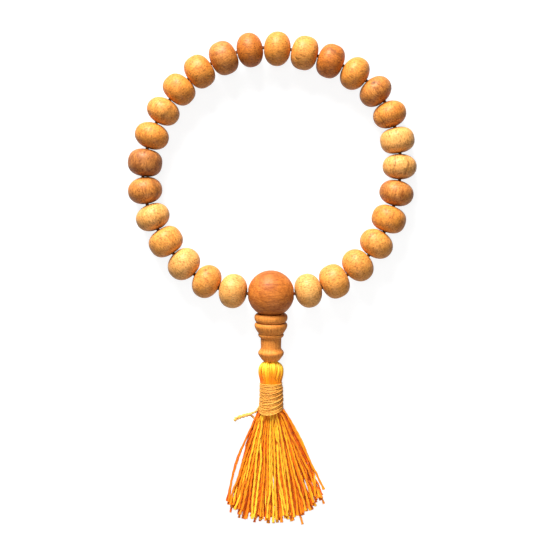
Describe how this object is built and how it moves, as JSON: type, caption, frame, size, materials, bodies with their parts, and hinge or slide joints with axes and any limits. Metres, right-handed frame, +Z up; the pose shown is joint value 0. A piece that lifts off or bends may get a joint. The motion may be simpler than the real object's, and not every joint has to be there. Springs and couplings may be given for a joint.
{
  "type": "mala prayer beads",
  "caption": "Wrist mala of turned wooden beads on one cord, with a larger guru bead, a turned stem and a bound thread tassel.",
  "frame": {"origin": "middle of the bead loop on the surface that the mala lies on", "axes": "+Z up from that surface, +Y away from the guru bead and tassel, +X to the right seen from above with the tassel towards the viewer"},
  "size_m": [0.0682, 0.1153, 0.0109],
  "materials": {
    "bead_wood_pale": "satin",
    "bead_wood_amber": "satin",
    "bead_wood_brown": "satin",
    "guru_wood": "satin, waxed",
    "stem_wood": "satin",
    "cord": "waxed twisted cord",
    "tassel_thread": "satin twisted thread",
    "binding_thread": "twisted cotton thread"
  },
  "bodies": {
    "guru": {"guru_bead": "guru_wood", "tassel_cord": "cord"},
    "stem": {"guru_stem": "stem_wood"},
    "tassel": {"tassel_threads": "tassel_thread", "tassel_binding": "binding_thread"},
    "loop_root": {"guru_cord": "cord"},
    "link_01": {"cord_01": "cord", "cord_02": "cord", "cord_03": "cord"},
    "bead_01": {"bead_01": "bead_wood_pale"},
    "bead_02": {"bead_02": "bead_wood_pale"},
    "bead_03": {"bead_03": "bead_wood_pale"},
    "link_04": {"cord_04": "cord", "cord_05": "cord", "cord_06": "cord"},
    "bead_04": {"bead_04": "bead_wood_amber"},
    "bead_05": {"bead_05": "bead_wood_pale"},
    "bead_06": {"bead_06": "bead_wood_amber"},
    "link_07": {"cord_07": "cord", "cord_08": "cord", "cord_09": "cord"},
    "bead_07": {"bead_07": "bead_wood_pale"},
    "bead_08": {"bead_08": "bead_wood_pale"},
    "bead_09": {"bead_09": "bead_wood_amber"},
    "link_10": {"cord_10": "cord", "cord_11": "cord", "cord_12": "cord"},
    "bead_10": {"bead_10": "bead_wood_amber"},
    "bead_11": {"bead_11": "bead_wood_amber"},
    "bead_12": {"bead_12": "bead_wood_amber"},
    "link_13": {"cord_13": "cord", "cord_14": "cord"},
    "bead_13": {"bead_13": "bead_wood_amber"},
    "bead_14": {"bead_14": "bead_wood_amber"},
    "link_27": {"cord_27": "cord", "cord_26": "cord"},
    "bead_27": {"bead_27": "bead_wood_pale"},
    "bead_26": {"bead_26": "bead_wood_pale"},
    "link_25": {"cord_25": "cord", "cord_24": "cord", "cord_23": "cord"},
    "bead_25": {"bead_25": "bead_wood_pale"},
    "bead_24": {"bead_24": "bead_wood_pale"},
    "bead_23": {"bead_23": "bead_wood_pale"},
    "link_22": {"cord_22": "cord", "cord_21": "cord", "cord_20": "cord"},
    "bead_22": {"bead_22": "bead_wood_brown"},
    "bead_21": {"bead_21": "bead_wood_brown"},
    "bead_20": {"bead_20": "bead_wood_amber"},
    "link_19": {"cord_19": "cord", "cord_18": "cord", "cord_17": "cord"},
    "bead_19": {"bead_19": "bead_wood_brown"},
    "bead_18": {"bead_18": "bead_wood_amber"},
    "bead_17": {"bead_17": "bead_wood_amber"},
    "link_16": {"cord_16": "cord", "cord_15": "cord"},
    "bead_16": {"bead_16": "bead_wood_brown"},
    "bead_15": {"bead_15": "bead_wood_brown"}
  },
  "joints": [
    {"name": "fold_at_guru", "type": "hinge", "parent": "guru", "child": "loop_root", "pos_m": [0, -0.029, 0.00545], "axis": [1, 0, 0], "range_deg": [-150, 150]},
    {"name": "spin_stem", "type": "hinge", "parent": "guru", "child": "stem", "pos_m": [0, -0.029, 0.00545], "axis": [0, -0.989, -0.148], "continuous": true},
    {"name": "sway_tassel", "type": "hinge", "parent": "guru", "child": "tassel", "pos_m": [0, -0.04537, 0.003], "axis": [0, 0, 1], "range_deg": [-30, 30]},
    {"name": "squeeze_loop", "type": "hinge", "parent": "loop_root", "child": "link_01", "pos_m": [0.0056, -0.029, 0.00545], "axis": [0, 0, 1], "range_deg": [-6, 6]},
    {"name": "turn_bead_01", "type": "hinge", "parent": "link_01", "child": "bead_01", "pos_m": [0.0088, -0.0283, 0.00492], "axis": [0.9646, 0.211, -0.1583], "continuous": true},
    {"name": "turn_bead_02", "type": "hinge", "parent": "link_01", "child": "bead_02", "pos_m": [0.015, -0.0261, 0.0042], "axis": [0.8928, 0.4464, -0.0595], "continuous": true},
    {"name": "turn_bead_03", "type": "hinge", "parent": "link_01", "child": "bead_03", "pos_m": [0.02055, -0.0223, 0.004], "axis": [0.7426, 0.6698, 0], "continuous": true},
    {"name": "bend_04", "type": "hinge", "parent": "link_01", "child": "link_04", "pos_m": [0.0231, -0.02, 0.004], "axis": [0, 0, 1], "range_deg": [-1.2, 1.2]},
    {"name": "turn_bead_04", "type": "hinge", "parent": "link_04", "child": "bead_04", "pos_m": [0.02495, -0.0172, 0.004], "axis": [0.5513, 0.8343, 0], "continuous": true},
    {"name": "turn_bead_05", "type": "hinge", "parent": "link_04", "child": "bead_05", "pos_m": [0.0279, -0.01135, 0.004], "axis": [0.3393, 0.9407, 0], "continuous": true},
    {"name": "turn_bead_06", "type": "hinge", "parent": "link_04", "child": "bead_06", "pos_m": [0.0297, -0.0052, 0.004], "axis": [0.2203, 0.9754, 0], "continuous": true},
    {"name": "bend_07", "type": "hinge", "parent": "link_04", "child": "link_07", "pos_m": [0.0304, -0.0021, 0.004], "axis": [0, 0, 1], "range_deg": [-8.87, 8.87]},
    {"name": "turn_bead_07", "type": "hinge", "parent": "link_07", "child": "bead_07", "pos_m": [0.03045, 0.00105, 0.004], "axis": [0.0159, 0.9999, 0], "continuous": true},
    {"name": "turn_bead_08", "type": "hinge", "parent": "link_07", "child": "bead_08", "pos_m": [0.0299, 0.0073, 0.004], "axis": [-0.19, 0.9818, 0], "continuous": true},
    {"name": "turn_bead_09", "type": "hinge", "parent": "link_07", "child": "bead_09", "pos_m": [0.0281, 0.0134, 0.004], "axis": [-0.3714, 0.9285, 0], "continuous": true},
    {"name": "bend_10", "type": "hinge", "parent": "link_07", "child": "link_10", "pos_m": [0.0269, 0.0164, 0.004], "axis": [0, 0, 1], "range_deg": [-3.44, 3.44]},
    {"name": "turn_bead_10", "type": "hinge", "parent": "link_10", "child": "bead_10", "pos_m": [0.02475, 0.01885, 0.004], "axis": [-0.6596, 0.7516, 0], "continuous": true},
    {"name": "turn_bead_11", "type": "hinge", "parent": "link_10", "child": "bead_11", "pos_m": [0.01985, 0.0231, 0.004], "axis": [-0.8367, 0.5477, 0], "continuous": true},
    {"name": "turn_bead_12", "type": "hinge", "parent": "link_10", "child": "bead_12", "pos_m": [0.0141, 0.02605, 0.004], "axis": [-0.9337, 0.3579, 0], "continuous": true},
    {"name": "bend_13", "type": "hinge", "parent": "link_10", "child": "link_13", "pos_m": [0.0111, 0.0272, 0.004], "axis": [0, 0, 1], "range_deg": [-5.48, 5.48]},
    {"name": "turn_bead_13", "type": "hinge", "parent": "link_13", "child": "bead_13", "pos_m": [0.00795, 0.02795, 0.004], "axis": [-0.9728, 0.2316, 0], "continuous": true},
    {"name": "turn_bead_14", "type": "hinge", "parent": "link_13", "child": "bead_14", "pos_m": [0.0015, 0.02895, 0.004], "axis": [-0.9971, 0.0755, 0], "continuous": true},
    {"name": "bend_27", "type": "hinge", "parent": "loop_root", "child": "link_27", "pos_m": [-0.0056, -0.029, 0.00545], "axis": [0, 0, 1], "range_deg": [-5.61, 5.61]},
    {"name": "turn_bead_27", "type": "hinge", "parent": "link_27", "child": "bead_27", "pos_m": [-0.00895, -0.0284, 0.00492], "axis": [0.9728, -0.1742, 0.1525], "continuous": true},
    {"name": "turn_bead_26", "type": "hinge", "parent": "link_27", "child": "bead_26", "pos_m": [-0.0152, -0.02615, 0.0042], "axis": [0.8676, -0.4936, 0.0598], "continuous": true},
    {"name": "bend_25", "type": "hinge", "parent": "link_27", "child": "link_25", "pos_m": [-0.0181, -0.0245, 0.004], "axis": [0, 0, 1], "range_deg": [-1.09, 1.09]},
    {"name": "turn_bead_25", "type": "hinge", "parent": "link_25", "child": "bead_25", "pos_m": [-0.0206, -0.022, 0.004], "axis": [0.7071, -0.7071, 0], "continuous": true},
    {"name": "turn_bead_24", "type": "hinge", "parent": "link_25", "child": "bead_24", "pos_m": [-0.0249, -0.0167, 0.004], "axis": [0.5408, -0.8412, 0], "continuous": true},
    {"name": "turn_bead_23", "type": "hinge", "parent": "link_25", "child": "bead_23", "pos_m": [-0.028, -0.0109, 0.004], "axis": [0.3976, -0.9176, 0], "continuous": true},
    {"name": "bend_22", "type": "hinge", "parent": "link_25", "child": "link_22", "pos_m": [-0.0293, -0.0079, 0.004], "axis": [0, 0, 1], "range_deg": [-7.42, 7.42]},
    {"name": "turn_bead_22", "type": "hinge", "parent": "link_22", "child": "bead_22", "pos_m": [-0.0298, -0.0046, 0.004], "axis": [0.1498, -0.9887, 0], "continuous": true},
    {"name": "turn_bead_21", "type": "hinge", "parent": "link_22", "child": "bead_21", "pos_m": [-0.0298, 0.002, 0.004], "axis": [-0.1498, -0.9887, 0], "continuous": true},
    {"name": "turn_bead_20", "type": "hinge", "parent": "link_22", "child": "bead_20", "pos_m": [-0.0282, 0.00835, 0.004], "axis": [-0.3393, -0.9407, 0], "continuous": true},
    {"name": "bend_19", "type": "hinge", "parent": "link_22", "child": "link_19", "pos_m": [-0.0271, 0.0114, 0.004], "axis": [0, 0, 1], "range_deg": [-6.14, 6.14]},
    {"name": "turn_bead_19", "type": "hinge", "parent": "link_19", "child": "bead_19", "pos_m": [-0.0255, 0.01415, 0.004], "axis": [-0.5029, -0.8643, 0], "continuous": true},
    {"name": "turn_bead_18", "type": "hinge", "parent": "link_19", "child": "bead_18", "pos_m": [-0.02175, 0.0193, 0.004], "axis": [-0.6672, -0.7448, 0], "continuous": true},
    {"name": "turn_bead_17", "type": "hinge", "parent": "link_19", "child": "bead_17", "pos_m": [-0.0169, 0.02355, 0.004], "axis": [-0.8249, -0.5652, 0], "continuous": true},
    {"name": "bend_16", "type": "hinge", "parent": "link_19", "child": "link_16", "pos_m": [-0.0142, 0.0254, 0.004], "axis": [0, 0, 1], "range_deg": [-2.96, 2.96]},
    {"name": "turn_bead_16", "type": "hinge", "parent": "link_16", "child": "bead_16", "pos_m": [-0.0112, 0.02675, 0.004], "axis": [-0.9119, -0.4104, 0], "continuous": true},
    {"name": "turn_bead_15", "type": "hinge", "parent": "link_16", "child": "bead_15", "pos_m": [-0.005, 0.02865, 0.004], "axis": [-0.9855, -0.1694, 0], "continuous": true}
  ],
  "couplings": [
    {"joint": "bend_04", "follows": "squeeze_loop", "ratio": -0.1504},
    {"joint": "bend_07", "follows": "squeeze_loop", "ratio": -1.4283},
    {"joint": "bend_10", "follows": "squeeze_loop", "ratio": -0.5239},
    {"joint": "bend_13", "follows": "squeeze_loop", "ratio": 0.8636},
    {"joint": "bend_27", "follows": "squeeze_loop", "ratio": -0.8848},
    {"joint": "bend_25", "follows": "squeeze_loop", "ratio": -0.1309},
    {"joint": "bend_22", "follows": "squeeze_loop", "ratio": 1.1861},
    {"joint": "bend_19", "follows": "squeeze_loop", "ratio": 0.9729},
    {"joint": "bend_16", "follows": "squeeze_loop", "ratio": -0.444}
  ]
}
